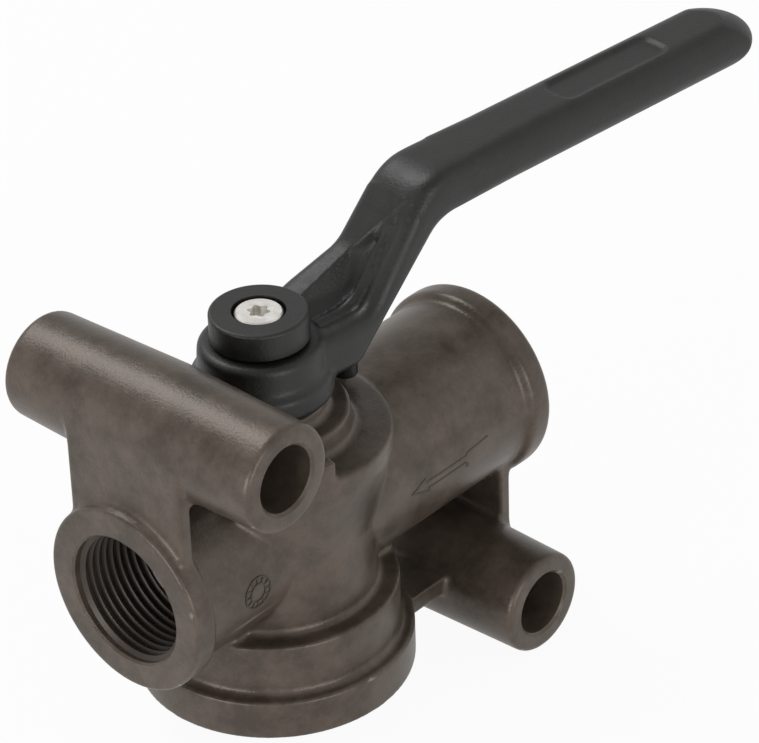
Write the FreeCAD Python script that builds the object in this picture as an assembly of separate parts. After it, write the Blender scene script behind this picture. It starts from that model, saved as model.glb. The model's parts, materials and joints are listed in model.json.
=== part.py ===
import FreeCAD
import Part
import math
import os

V = FreeCAD.Vector
reach = 120.0  # far enough for a cutting tool to pass right through

# A lever-operated shut-off cock for compressed air: a cast housing with two threaded ports in line,
# a rotary plug turned through 90 degrees by the lever on top, and two cross tubes that take the
# fixing bolts. Lengths are in millimetres and angles in degrees. The origin is on the spindle's
# axis in the plane of the bottom rim, +X runs along the ports and +Z up the spindle.

# ports
port_axis_z = 29.35
port_thread_d = 22.0
port_thread_len = 14.0
port_chamfer = 0.8
passage_r = 7.5
inlet_face_x = -33.06
inlet_flange_r = 15.9
inlet_flange_t = 4.4
inlet_neck_r = 14.4
outlet_face_x = 51.2
outlet_tube_r = 15.6
outlet_bead_r = 16.9
outlet_bead_w = 5.2

# housing, from the bottom rim up
rim_r = 22.9
rim_h = 7.2
skirt_r = 20.7
skirt_top_z = 16.4
step_fillet = 0.9
body_r = 17.2
crown_z = port_axis_z + 15.85
crown_r = 14.1
neck_r = 13.66
neck_h = 3.63
neck_top_z = crown_z + neck_h
collar_r = 10.0
collar_h = 2.17
collar_top_z = neck_top_z + collar_h
shelf_r = 20.34
shelf_t = 3.2
shelf_foot_z = 29.0
stop_width = 13.0
shelf_start_deg = -150.0

# fixing tubes for the bolts, one above the inlet and one below the outlet
bolt_hole_d = 11.0
tube_len = 52.0
tube_end_r = 8.83
tube_mid_r = 9.5
tube_edge = 0.9
hole_chamfer = 0.6
upper_tube_x = inlet_face_x + 11.02
upper_tube_z = neck_top_z + 8.45
lower_tube_x = outlet_face_x - 13.61
lower_tube_z = 0.87
web_half_w = 12.0
web_t = 2.5
shelf_web_half_w = 8.0
shelf_web_t = 3.2

# cavity for the plug and the bottom cover
plug_r = 12.5
plug_clear = 0.05
plug_bottom_z = port_axis_z - 12.55
plug_top_z = port_axis_z + 13.15
cavity_r = 15.5
cavity_z = plug_bottom_z - 1.2
cover_bore_r = 18.6
cover_seat_z = 9.2
cover_gap = 0.06
cover_boss_r = 6.4
vent_hole_r = 3.0
flap_recess_r = 6.4
flap_recess_h = 2.0
flap_t = 1.2
snap_ring_t = 1.5
snap_ring_wire = 2.6
snap_groove_depth = 1.3
snap_z = 1.4

# spindle
shaft_r = 6.9
shaft_clear = 0.06
thrust_collar_r = 10.0
thrust_collar_t = 1.6
thrust_washer_t = 0.8
bush_t = 1.3
bush_len = 3.2
square_w = 8.0
square_corner_r = 0.66 * square_w
square_clear = 0.05
tongue_w = 5.0
tongue_len = 13.0
tongue_h = 3.2
tongue_clear = 0.08

# seals: ring height, groove depth and the gap that the drawn ring keeps from its walls
seal_h = 1.7
seal_depth = 1.5
seal_gap = 0.04
plug_seal_inset = 2.4
spindle_seal_z = collar_top_z - 5.0
seat_wall = 2.2
seat_len = 3.2
dust_seal_r = 8.6
dust_recess = 1.4

# lever
lever_angle = -6.0
lever_travel = 90.0
hub_gap = 0.3
hub_h = 10.1
hub_bottom_z = collar_top_z + hub_gap
hub_top_z = hub_bottom_z + hub_h
square_top_z = hub_top_z - 0.2
hub_r = 9.9
hub_skirt_r = 11.4
hub_skirt_h = 5.3
hub_skirt_top_z = hub_bottom_z + hub_skirt_h
hub_skirt_chamfer = 1.1
hub_edge = 1.4
cap_r = 7.95
cap_groove = 0.5
cap_h = 4.5
cap_bottom_z = hub_top_z + cap_groove
cap_top_z = cap_bottom_z + cap_h
cap_edge = 0.5
head_r = 3.85
head_recess_r = 4.35
head_h = 1.9
head_sink = 0.15
screw_r = 2.5
screw_len = 14.5
arm_base_half_w = 8.0
arm_edge = 2.2
arm_bottom_z = hub_bottom_z + 1.7
arm_root_u = 2.0
arm_wide_u = 13.0
arm_narrow_u = 32.0
arm_plan_rounding = (14.0, 30.0)
rise_start_u = 14.2
rise_end_u = 33.8
dip_u = 21.6
dip_z = hub_bottom_z + 15.9
crest_u = 31.0
grip_half_w = 6.3
grip_t = 8.1
grip_start_u = 37.0
grip_start_z = hub_bottom_z + 23.8
grip_len = 71.5
grip_end_u = grip_start_u + grip_len
grip_rise = 1.2
grip_join_u = 38.5
grip_full_u = 50.0
grip_full_half_w = 6.75
grip_full_t = 8.36
grip_edge = 3.7
grip_tip_reach = (11.5, 8.8, 4.85)
sheet_edge = ((0.0, 2.2), (21.5, 2.6), (35.4, -9.0))
sheet_step = 0.6
ledge_z = hub_bottom_z + 9.8
ledge_end_u = 16.8
pocket_start_u = 9.0
pocket_tip_u = (26.3, 27.4)
pocket_right_w = -4.6
rib_w = -2.0
pocket_floor = 2.6
pocket_rib_t = 1.2
panel_u = (64.5, 88.5)
panel_half_w = 3.3
panel_depth = 0.45
peg_r = 2.1
peg_clear = 0.01
peg_u = 17.2
peg_bottom_z = crown_z + 1.8
peg_press = 4.0
stop_clear_deg = 0.6


def turned(points, angle=360.0):
    """Solid turned about Z from its half section, given as (radius, height) corners."""
    corners = [V(r, 0, z) for r, z in points]
    face = Part.Face(Part.makePolygon(corners + [corners[0]]))
    return face.revolve(V(0, 0, 0), V(0, 0, 1), angle)


def along_x(shape, x, z):
    """Lays a solid made about Z on its side, so that its +Z end points to +X from (x, 0, z)."""
    laid = shape.copy()
    laid.rotate(V(0, 0, 0), V(0, 1, 0), 90)
    laid.translate(V(x, 0, z))
    return laid


def ring(inner_r, outer_r, z0, z1):
    return turned([(inner_r, z0), (outer_r, z0), (outer_r, z1), (inner_r, z1)])


def box(x0, x1, y0, y1, z0, z1):
    return Part.makeBox(x1 - x0, y1 - y0, z1 - z0, V(x0, y0, z0))


def rounded(shape, radius, picks):
    """Rounds the edges that picks(edge) accepts."""
    edges = [e for e in shape.Edges if picks(e)]
    return shape.makeFillet(radius, edges)


def plate(corners, y0, y1):
    """Plate between two Y planes from its outline in X and Z."""
    wire = Part.makePolygon([V(x, y0, z) for x, z in corners + [corners[0]]])
    return Part.Face(wire).extrude(V(0, y1 - y0, 0))


def arc_profile(points, roundings):
    """Closed wire in the XZ plane through points, with each named corner rounded."""
    edges = []
    count = len(points)
    starts = []
    for i, (x, z) in enumerate(points):
        here = V(x, 0, z)
        before = V(points[i - 1][0], 0, points[i - 1][1])
        after = V(points[(i + 1) % count][0], 0, points[(i + 1) % count][1])
        r = roundings.get(i, 0.0)
        if r == 0.0:
            starts.append((here, None, here))
            continue
        to_before = (before - here).normalize()
        to_after = (after - here).normalize()
        half = to_before.getAngle(to_after) / 2.0
        setback = r / math.tan(half)
        middle = (to_before + to_after).normalize()
        centre = here + middle * (r / math.sin(half))
        starts.append((here + to_before * setback, centre - middle * r, here + to_after * setback))
    for i, (first, mid, last) in enumerate(starts):
        if mid is not None:
            edges.append(Part.Arc(first, mid, last).toShape())
        following = starts[(i + 1) % count][0]
        if last.distanceToPoint(following) > 1e-6:
            edges.append(Part.LineSegment(last, following).toShape())
    return Part.Wire(edges)


# housing

def fixing_tube(x, z):
    """Solid cross tube along Y, with draft from the seam in the middle to both ends."""
    half = tube_len / 2.0
    cone = Part.makeCone(tube_mid_r, tube_end_r, half, V(0, 0, 0), V(0, 1, 0))
    cone = rounded(cone, tube_edge, lambda e: e.CenterOfMass.y > half - 0.01)
    other = cone.mirror(V(0, 0, 0), V(0, 1, 0))
    tube = cone.fuse(other)
    tube.translate(V(x, 0, z))
    return tube


def fixing_hole(x, z):
    half = tube_len / 2.0
    r = bolt_hole_d / 2.0
    hole = Part.makeCylinder(r, tube_len, V(x, -half, z), V(0, 1, 0))
    for side in (-1, 1):
        mouth = Part.makeCone(
            r, r + hole_chamfer, hole_chamfer, V(x, side * (half - hole_chamfer), z), V(0, side, 0)
        )
        hole = hole.fuse(mouth)
    return hole


def skirt_and_body():
    """The turned middle: bottom rim, skirt, body, crown and neck, with hollow corners rounded."""
    f = step_fillet
    points = [
        (0, 0),
        (rim_r, 0),
        (rim_r, rim_h),
        (skirt_r, rim_h),
        (skirt_r, skirt_top_z),
        (body_r, skirt_top_z),
        (body_r, crown_z),
        (crown_r, crown_z),
        (neck_r, neck_top_z),
        (collar_r, neck_top_z),
        (collar_r, collar_top_z),
        (0, collar_top_z),
    ]
    corner_radii = {1: 0.5, 2: 0.4, 3: f, 4: 0.4, 5: f, 6: 0.4, 8: 0.3, 9: 1.2, 10: 0.3}
    wire = arc_profile(points, corner_radii)
    return Part.Face(wire).revolve(V(0, 0, 0), V(0, 0, 1), 360)


def stop_gap():
    """Start and end angle of the recess in which the lever's peg swings."""
    peg_half = math.degrees(math.asin(peg_r / peg_u)) + stop_clear_deg
    return lever_angle - lever_travel - peg_half, lever_angle + peg_half


def peg_shelf():
    """Ledge round one side of the crown, with a raised stop at each end of the peg's recess."""
    gap_start, gap_end = stop_gap()
    inner = body_r - 3.0
    wire = arc_profile([(inner, shelf_foot_z), (body_r - 0.1, shelf_foot_z), (shelf_r, crown_z - shelf_t),
                        (shelf_r, crown_z), (inner, crown_z)], {2: 8.0, 3: 0.4})
    sweep = gap_end + stop_width - shelf_start_deg
    ledge = Part.Face(wire).revolve(V(0, 0, 0), V(0, 0, 1), sweep)
    ledge.rotate(V(0, 0, 0), V(0, 0, 1), shelf_start_deg)
    post = turned(
        [(collar_r + 1.0, crown_z - 1.0), (shelf_r, crown_z - 1.0), (shelf_r, neck_top_z),
         (collar_r + 1.0, neck_top_z)],
        stop_width,
    )
    first = post.copy()
    first.rotate(V(0, 0, 0), V(0, 0, 1), gap_start - stop_width)
    second = post.copy()
    second.rotate(V(0, 0, 0), V(0, 0, 1), gap_end)
    return ledge.fuse([first, second])


def inlet_branch():
    """Neck and flange of the inlet."""
    length = -inlet_face_x
    flange_start = length - inlet_flange_t
    wire = arc_profile(
        [(0, 0), (inlet_neck_r, 0), (inlet_neck_r, flange_start), (inlet_flange_r, flange_start),
         (inlet_flange_r, length), (0, length)],
        {2: 0.8, 3: 0.4, 4: 0.5},
    )
    branch = Part.Face(wire).revolve(V(0, 0, 0), V(0, 0, 1), 360)
    branch.rotate(V(0, 0, 0), V(0, 1, 0), -90)
    branch.translate(V(0, 0, port_axis_z))
    return branch


def outlet_branch():
    """Tube of the outlet with its rounded bead."""
    bead_start = outlet_face_x - outlet_bead_w
    half_bead = outlet_bead_w / 2.0 - 0.1
    wire = arc_profile(
        [(0, 0), (outlet_tube_r, 0), (outlet_tube_r, bead_start), (outlet_bead_r, bead_start),
         (outlet_bead_r, outlet_face_x), (0, outlet_face_x)],
        {2: 0.6, 3: 1.2, 4: half_bead - 1.0},
    )
    branch = Part.Face(wire).revolve(V(0, 0, 0), V(0, 0, 1), 360)
    return along_x(branch, 0, port_axis_z)


def between(x0, x1):
    """Everything between two planes across the ports' axis."""
    return box(x0, x1, -reach, reach, -reach, reach)


def inlet_split_x():
    """The casting is drawn in pieces; the inlet port ends where its thread ends."""
    return inlet_face_x + port_thread_len


def outlet_split_x():
    return outlet_face_x - port_thread_len


def crown_web():
    """Flat plate from the crown to the underside of the upper fixing tube."""
    w = shelf_web_half_w
    top = neck_top_z - 0.6
    web = box(upper_tube_x, -collar_r, -w, w, top - shelf_web_t, top)
    return web.cut(fixing_tube(upper_tube_x, upper_tube_z))


def web_upper():
    """Upright plate from the inlet flange to the front of the upper fixing tube."""
    w = web_half_w
    front = upper_tube_x - tube_mid_r + 0.15
    web = box(front, front + web_t, -w, w, port_axis_z + 4.0, upper_tube_z)
    return web.cut([inlet_branch(), fixing_tube(upper_tube_x, upper_tube_z)])


def web_lower():
    """Upright plate from the outlet tube to the back of the lower fixing tube."""
    w = web_half_w
    back = lower_tube_x + tube_mid_r - 1.4
    web = box(back - web_t, back, -w, w, lower_tube_z, port_axis_z - 4.0)
    return web.cut([outlet_branch(), fixing_tube(lower_tube_x, lower_tube_z)])


def web_floor():
    """Flat plate from the bottom rim to the lower fixing tube."""
    w = web_half_w
    top = lower_tube_z + 4.0
    web = box(rim_r - 5.0, lower_tube_x, -w, w, top - web_t - 0.8, top)
    return web.cut([skirt_and_body(), fixing_tube(lower_tube_x, lower_tube_z)])


def port_bore(face_x, inward):
    """Threaded length, entry chamfer and passage of one port, cut from its face inwards."""
    r = port_thread_d / 2.0
    direction = V(inward, 0, 0)
    face = V(face_x, 0, port_axis_z)
    thread = Part.makeCylinder(r, port_thread_len, face, direction)
    mouth = Part.makeCone(r + port_chamfer, r, port_chamfer, face, direction)
    bottom = face + direction * port_thread_len
    cone_h = (r - passage_r) * 0.5
    taper = Part.makeCone(r, passage_r, cone_h, bottom, direction)
    passage = Part.makeCylinder(passage_r, abs(face_x), face, direction)
    return thread.fuse([mouth, taper, passage])


def seat_pocket_r():
    return passage_r + seat_wall + seal_gap


def housing_cavity():
    """Everything turned about the spindle axis that is cut out of the housing."""
    bore = plug_r + plug_clear
    groove = cover_bore_r + snap_groove_depth
    collar_recess_r = thrust_collar_r + 0.4
    recess_top = thrust_top_z()
    shaft_bore = shaft_r + shaft_clear
    bush_r = shaft_bore + bush_t
    section = [
        (0, -1.0),
        (cover_bore_r, -1.0),
        (cover_bore_r, snap_z),
        (groove, snap_z),
        (groove, snap_z + snap_ring_t + 0.1),
        (cover_bore_r, snap_z + snap_ring_t + 0.1),
        (cover_bore_r, cover_seat_z),
        (cavity_r, cover_seat_z),
        (cavity_r, cavity_z),
        (bore, cavity_z),
        (bore, plug_top_z + 0.3),
        (collar_recess_r, plug_top_z + 0.3),
        (collar_recess_r, recess_top),
        (shaft_bore, recess_top),
        (shaft_bore, collar_top_z - bush_len),
        (bush_r, collar_top_z - bush_len),
        (bush_r, collar_top_z + 1.0),
        (0, collar_top_z + 1.0),
    ]
    return turned(section)


def thrust_top_z():
    """Ceiling that the spindle's thrust washer bears on."""
    return plug_top_z + 0.2 + thrust_collar_t + 0.05 + thrust_washer_t + 0.05


def below_seat():
    """Everything below the seat of the bottom cover."""
    return box(-reach, reach, -reach, reach, -reach, cover_seat_z)


def housing():
    """Middle of the casting with the stubs of both branches, the shelf and the crown's web."""
    inlet_stub = inlet_branch().common(between(inlet_split_x(), 0))
    outlet_stub = outlet_branch().common(between(0, rim_r))
    solid = skirt_and_body().fuse([peg_shelf(), inlet_stub, outlet_stub, crown_web()])
    pocket_len = plug_r + seat_len
    seat_bore = Part.makeCylinder(
        seat_pocket_r(), 2 * pocket_len, V(-pocket_len, 0, port_axis_z), V(1, 0, 0)
    )
    passages = [port_bore(inlet_face_x, 1), port_bore(outlet_face_x, -1), seat_bore]
    return solid.cut(passages + [housing_cavity(), below_seat()])


def base_ring():
    """Lower end of the casting, round the bottom cover and its snap ring."""
    return skirt_and_body().common(below_seat()).cut(housing_cavity())


def inlet_port():
    """Flange and neck of the inlet as far in as the thread."""
    port = inlet_branch().common(between(inlet_face_x - 1.0, inlet_split_x()))
    return port.cut([skirt_and_body(), port_bore(inlet_face_x, 1)])


def outlet_tube():
    """Tube between the housing and the outlet port."""
    tube = outlet_branch().common(between(rim_r, outlet_split_x()))
    return tube.cut(port_bore(outlet_face_x, -1))


def outlet_port():
    """Threaded end of the outlet with its bead."""
    port = outlet_branch().common(between(outlet_split_x(), outlet_face_x + 1.0))
    return port.cut(port_bore(outlet_face_x, -1))


def bored_tube(x, z):
    return fixing_tube(x, z).cut(fixing_hole(x, z))


# plug, seats and seals

def plug_seal_heights():
    return (plug_bottom_z + plug_seal_inset, plug_top_z - plug_seal_inset)


def plug():
    """Rotary plug with its cross bore, two seal grooves and the slot for the spindle's tongue."""
    solid = turned([(0, plug_bottom_z), (plug_r, plug_bottom_z), (plug_r, plug_top_z), (0, plug_top_z)])
    grooves = [
        ring(plug_r - seal_depth, plug_r + 1.0, z - seal_h / 2.0, z + seal_h / 2.0)
        for z in plug_seal_heights()
    ]
    cross = Part.makeCylinder(passage_r, 2 * plug_r + 2.0, V(-plug_r - 1.0, 0, port_axis_z), V(1, 0, 0))
    slot = box(
        -tongue_len / 2.0 - tongue_clear, tongue_len / 2.0 + tongue_clear,
        -tongue_w / 2.0 - tongue_clear, tongue_w / 2.0 + tongue_clear,
        plug_top_z - tongue_h - 0.3, plug_top_z + 1.0,
    )
    hollow = turned([(0, plug_bottom_z - 1.0), (5.0, plug_bottom_z - 1.0), (5.0, plug_bottom_z + 2.5),
                     (0, plug_bottom_z + 2.5)])
    return solid.cut(grooves + [cross, slot, hollow])


def seal_ring(inner_r, outer_r, z):
    """Ring seal with its corners taken off, standing clear of the groove by the seal gap."""
    low = z - seal_h / 2.0 + seal_gap
    high = z + seal_h / 2.0 - seal_gap
    c = 0.4
    return turned([
        (inner_r, low + c), (inner_r + c, low), (outer_r - c, low), (outer_r, low + c),
        (outer_r, high - c), (outer_r - c, high), (inner_r + c, high), (inner_r, high - c),
    ])


def port_seat(side):
    """Seat ring between one passage and the plug, hollowed on its inner face to the plug's radius."""
    pocket_end = plug_r + seat_len
    outer = Part.makeCylinder(passage_r + seat_wall, pocket_end, V(0, 0, port_axis_z), V(side, 0, 0))
    inner = Part.makeCylinder(passage_r + 0.1, pocket_end + 2.0, V(0, 0, port_axis_z), V(side, 0, 0))
    face = ring(0, plug_r + plug_clear + 0.03, 0, reach)
    end = box(pocket_end - seal_gap, reach, -reach, reach, 0, reach)
    if side < 0:
        end = end.mirror(V(0, 0, 0), V(1, 0, 0))
    return outer.cut([inner, face, end])


# below the plug

def slide_washer():
    return ring(5.4, plug_r - 0.6, plug_bottom_z - 1.0, plug_bottom_z - 0.04)


def spring_foot_z():
    """Face of the bottom cover on which the lower spring washer stands."""
    return cover_seat_z + 1.4


def disc_spring(low, high, cup_up):
    """Coned spring washer between two heights."""
    t = 0.8
    inner_r = 6.7
    outer_r = plug_r - 1.4
    if cup_up:
        return turned([(inner_r, low), (outer_r, high - t), (outer_r, high), (inner_r, low + t)])
    return turned([(outer_r, low), (outer_r, low + t), (inner_r, high), (inner_r, high - t)])


def bottom_cover():
    """Cover in the bottom rim: seat flange, seal groove, and a boss with the vent outlet through it."""
    r = cover_bore_r - cover_gap
    low = snap_z + snap_ring_t + 0.15
    high = cover_seat_z - 0.04
    z_groove = high - 2.6
    section = [
        (vent_hole_r, 0.0), (cover_boss_r, 0.0), (cover_boss_r, low), (r, low),
        (r, z_groove - seal_h / 2.0), (r - seal_depth, z_groove - seal_h / 2.0),
        (r - seal_depth, z_groove + seal_h / 2.0), (r, z_groove + seal_h / 2.0),
        (r, high), (cavity_r - 0.3, high), (cavity_r - 0.3, spring_foot_z()),
        (flap_recess_r, spring_foot_z()), (flap_recess_r, high - flap_recess_h),
        (vent_hole_r, high - flap_recess_h),
    ]
    return turned(section), z_groove


def cover_seal(z_groove):
    r = cover_bore_r - cover_gap
    return seal_ring(r - seal_depth + seal_gap, cover_bore_r - 0.02, z_groove)


def snap_ring():
    """Open retaining ring in the groove of the bottom rim, with an eye at each end."""
    groove = cover_bore_r + snap_groove_depth
    outer = groove - 0.15
    inner = outer - snap_ring_wire
    z0 = snap_z + 0.05
    z1 = z0 + snap_ring_t
    body = ring(inner, outer, z0, z1)
    gap_half = 15.0
    gap = turned([(0, z0 - 1), (outer + 2, z0 - 1), (outer + 2, z1 + 1), (0, z1 + 1)], 2 * gap_half)
    gap.rotate(V(0, 0, 0), V(0, 0, 1), 90 - gap_half)
    body = body.cut(gap)
    eye_r = 2.0
    holes = []
    for side in (-1, 1):
        a = math.radians(90 + side * (gap_half + 3.0))
        centre = V((inner - 0.4) * math.cos(a), (inner - 0.4) * math.sin(a), z0)
        body = body.fuse(Part.makeCylinder(eye_r, snap_ring_t, centre))
        holes.append(Part.makeCylinder(0.9, snap_ring_t + 2.0, centre - V(0, 0, 1.0)))
    return body.cut(holes)


def vent_flap():
    """Rubber disc over the inner end of the vent outlet."""
    low = cover_seat_z - 0.04 - flap_recess_h + 0.05
    r = flap_recess_r - 0.8
    return turned([(0, low), (r, low), (r, low + flap_t), (0, low + flap_t)])


# spindle and what sits round it

def spindle():
    """Tongue, thrust collar, sealed shaft and square drive, with the tapped hole for the lever screw."""
    collar_z = plug_top_z + 0.2
    shaft_top = hub_bottom_z + dust_recess - 0.1
    r = shaft_r
    points = [(0, collar_z), (thrust_collar_r, collar_z), (thrust_collar_r, collar_z + thrust_collar_t),
              (r, collar_z + thrust_collar_t)]
    low = spindle_seal_z - seal_h / 2.0
    high = spindle_seal_z + seal_h / 2.0
    points += [(r, low), (r - seal_depth, low), (r - seal_depth, high), (r, high)]
    points += [(r, shaft_top), (0, shaft_top)]
    shaft = turned(points)
    half = square_w / 2.0
    drive = box(-half, half, -half, half, shaft_top - 0.5, square_top_z)
    drive = drive.common(Part.makeCylinder(square_corner_r, reach, V(0, 0, 0)))
    tongue = box(-tongue_len / 2.0, tongue_len / 2.0, -tongue_w / 2.0, tongue_w / 2.0,
                 plug_top_z - tongue_h, collar_z + 0.2)
    tapped = Part.makeCylinder(screw_r + 0.03, screw_len, V(0, 0, cap_top_z - screw_len - 0.4))
    solid = shaft.fuse([drive, tongue]).cut(tapped)
    return solid


def thrust_washer():
    low = plug_top_z + 0.2 + thrust_collar_t + 0.05
    return ring(shaft_r + 0.15, thrust_collar_r, low, low + thrust_washer_t)


def spindle_bush():
    bore = shaft_r + shaft_clear
    return ring(bore, bore + bush_t, collar_top_z - bush_len, collar_top_z)


def dust_seal():
    """Wiper between the housing's collar and the underside of the hub."""
    return ring(shaft_r + 0.05, dust_seal_r, collar_top_z + 0.05, hub_bottom_z + dust_recess - 0.05)


# lever, in its own frame with the arm along +X, turned to its angle at the end

def hub_solid():
    low = hub_bottom_z
    points = [
        (0, low),
        (hub_skirt_r - hub_skirt_chamfer, low),
        (hub_skirt_r, low + hub_skirt_chamfer),
        (hub_skirt_r - 0.1, hub_skirt_top_z - 1.2),
        (hub_r + 0.3, hub_skirt_top_z),
        (hub_r, hub_top_z),
        (0, hub_top_z),
    ]
    wire = arc_profile(points, {2: 0.5, 3: 0.7, 4: 1.0, 5: hub_edge})
    return Part.Face(wire).revolve(V(0, 0, 0), V(0, 0, 1), 360)


def grip_z(u):
    """Height of the middle of the grip, which rises a little to its end."""
    return grip_start_z + grip_rise * (u - grip_start_u) / (grip_end_u - grip_start_u)


def arm_outline():
    """Side view of the arm: the underside from the hub, and the tops of its left and right sides."""
    h = grip_t / 2.0
    far = grip_full_u
    bottom = [
        (arm_root_u, arm_bottom_z),
        (rise_start_u, arm_bottom_z),
        (rise_end_u, grip_z(rise_end_u) - h),
        (far, grip_z(far) - h),
    ]
    left_top = [
        (far, grip_z(far) + h),
        (crest_u, grip_z(crest_u) + h),
        (dip_u, dip_z),
        (arm_root_u, hub_top_z - 1.5),
    ]
    right_top = [
        (far, grip_z(far) + h - sheet_step),
        (crest_u, grip_z(crest_u) + h - sheet_step),
        (ledge_end_u, ledge_z),
        (arm_root_u, ledge_z),
    ]
    return bottom, left_top, right_top


def raised(wire, low, high):
    """Plate made from a plan outline drawn in X and Z, laid flat between two heights."""
    flat = Part.Face(wire).extrude(V(0, low - high, 0))
    flat.rotate(V(0, 0, 0), V(1, 0, 0), -90)
    flat.translate(V(0, 0, low))
    return flat


def is_long_edge(edge):
    """True for the edges between the sides of the arm and its top or underside."""
    run = edge.Vertexes[-1].Point - edge.Vertexes[0].Point
    return edge.Curve.TypeId != "Part::GeomLine" or abs(run.x) > 0.001


def crank(bottom, top, roundings):
    """Crank of the arm as its side view cut by its plan view, with rounded long edges."""
    wire = arc_profile(bottom + top, roundings)
    side = Part.Face(wire).extrude(V(0, 3 * arm_base_half_w, 0))
    side.translate(V(0, -1.5 * arm_base_half_w, 0))
    g = grip_half_w
    b = arm_base_half_w
    far = grip_full_u
    plan = [(0, -b), (arm_wide_u, -b), (arm_narrow_u, -g), (far, -g),
            (far, g), (arm_narrow_u, g), (arm_wide_u, b), (0, b)]
    wide, narrow = arm_plan_rounding
    wire = arc_profile(plan, {1: wide, 2: narrow, 5: narrow, 6: wide})
    blank = rounded(side.common(raised(wire, 0.0, reach)), arm_edge, is_long_edge)
    return blank.common(box(0, grip_join_u, -reach, reach, 0, reach))


def arm_blank():
    """Arm whose top narrows down the crank to its left wall, above a lower right side."""
    bottom, left_top, right_top = arm_outline()
    left = crank(bottom, left_top, {1: 4.0, 2: 9.0, 5: 9.0, 6: 6.0})
    right = crank(bottom, right_top, {1: 4.0, 2: 9.0, 5: 9.0, 6: 6.0})
    corner_w = sheet_edge[-1][1]
    right_side = raised(arc_profile([(0.0, corner_w)] + list(reversed(sheet_edge)), {}), 0.0, reach)
    return left.cut(right_side).fuse(right.common(right_side)).fuse(grip())


def grip_section(u, half_w, thickness, edge):
    """Outline of the grip across its length, a rectangle with rounded corners."""
    z = grip_z(u)
    h = thickness / 2.0
    wire = arc_profile([(-half_w, z - h), (half_w, z - h), (half_w, z + h), (-half_w, z + h)],
                       {0: edge, 1: edge, 2: edge, 3: edge})
    wire.rotate(V(0, 0, 0), V(0, 0, 1), 90)
    wire.translate(V(u, 0, 0))
    return wire


def grip():
    """Grip, whose corners grow rounder along its first part, with an egg-shaped end."""
    sections = [
        grip_section(grip_join_u, grip_half_w - 0.01, grip_t - 0.02, arm_edge),
        grip_section(grip_full_u, grip_full_half_w, grip_full_t, grip_edge),
        grip_section(grip_end_u + 1.0, grip_full_half_w, grip_full_t, grip_edge),
    ]
    bar = Part.makeLoft(sections, True, True)
    length, half_w, half_h = grip_tip_reach
    middle = grip_end_u - length
    egg = Part.makeSphere(1.0)
    scale = FreeCAD.Matrix()
    scale.scale(V(length, half_w, half_h))
    egg = egg.transformGeometry(scale)
    egg.translate(V(middle, 0, grip_z(middle)))
    beyond = box(middle, reach, -reach, reach, 0, reach)
    return bar.cut(beyond.cut(egg))


def pocket_cut():
    """Two pockets down to the arm's floor, with a thin rib left between them."""
    run = rise_end_u - rise_start_u
    rise = (grip_z(rise_end_u) - grip_t / 2.0 - arm_bottom_z) / run
    lift = pocket_floor * math.sqrt(1.0 + rise * rise)
    start = pocket_start_u
    left_tip, right_tip = pocket_tip_u
    knee = rise_start_u + (pocket_floor - lift) / rise
    floor_z = arm_bottom_z + pocket_floor
    end_z = arm_bottom_z + lift + rise * (right_tip - rise_start_u)
    above = plate([(start, floor_z), (knee, floor_z), (right_tip, end_z), (right_tip, reach), (start, reach)],
                  -arm_base_half_w, arm_base_half_w)
    rib_left = rib_w + pocket_rib_t / 2.0
    rib_right = rib_w - pocket_rib_t / 2.0
    left_corners = [(start, rib_left), (left_tip, rib_left), sheet_edge[1], (start, sheet_edge[0][1])]
    right_corners = [(start, pocket_right_w), (left_tip - 1.0, pocket_right_w), (right_tip, rib_right - 0.8),
                     (right_tip - 0.4, rib_right), (start, rib_right)]
    left = raised(arc_profile(left_corners, {}), 0.0, reach)
    right = raised(arc_profile(right_corners, {}), 0.0, reach)
    return left.fuse(right).common(above)


def lever_blank():
    """Hub and arm in one, with the pockets of the arm kept clear of the hub."""
    cuts = pocket_cut().cut(Part.makeCylinder(cap_r + 0.5, reach, V(0, 0, 0)))
    arm = arm_blank().cut(Part.makeCylinder(hub_r - 1.0, reach, V(0, 0, 0)))
    return hub_solid().fuse(arm).cut(cuts)


def grip_panel():
    """Shallow bare recess on top of the grip."""
    start, end = panel_u
    w = panel_half_w
    wire = arc_profile([(start, -w), (end, -w), (end, w), (start, w)], {0: 2.0, 1: 2.0, 2: 2.0, 3: 2.0})
    middle = (start + end) / 2.0
    floor = grip_z(middle) + grip_t / 2.0 - panel_depth
    panel = raised(wire, floor, floor + 5.0)
    tilt = math.degrees(math.atan(grip_rise / (grip_end_u - grip_start_u)))
    panel.rotate(V(middle, 0, floor), V(0, 1, 0), -tilt)
    return panel


def lever():
    """The lever at its rest angle, with the square hole in line with the ports when open."""
    hole_w = square_w / 2.0 + square_clear
    cuts = [
        Part.makeCylinder(dust_seal_r + 0.3, dust_recess + 0.5, V(0, 0, hub_bottom_z - 0.5)),
        Part.makeCylinder(peg_r + peg_clear, peg_press, V(peg_u, 0, peg_top_z() - peg_press)),
        grip_panel(),
    ]
    square = box(-hole_w, hole_w, -hole_w, hole_w, hub_bottom_z, hub_top_z + 1.0)
    return turn_lever(lever_blank().cut(cuts)).cut(square)


def peg_top_z():
    """Upper end of the stop peg, held in the arm."""
    return arm_bottom_z + peg_press


def stop_peg():
    top = peg_top_z() - 0.05
    peg = Part.makeCylinder(peg_r, top - peg_bottom_z, V(peg_u, 0, peg_bottom_z))
    peg = rounded(peg, 0.4, lambda e: e.CenterOfMass.z < peg_bottom_z + 0.01)
    return turn_lever(peg)


def head_seat_z():
    """Underside of the screw's head, which clamps the cap and the lever on the spindle."""
    return cap_top_z - head_sink - head_h


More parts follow.
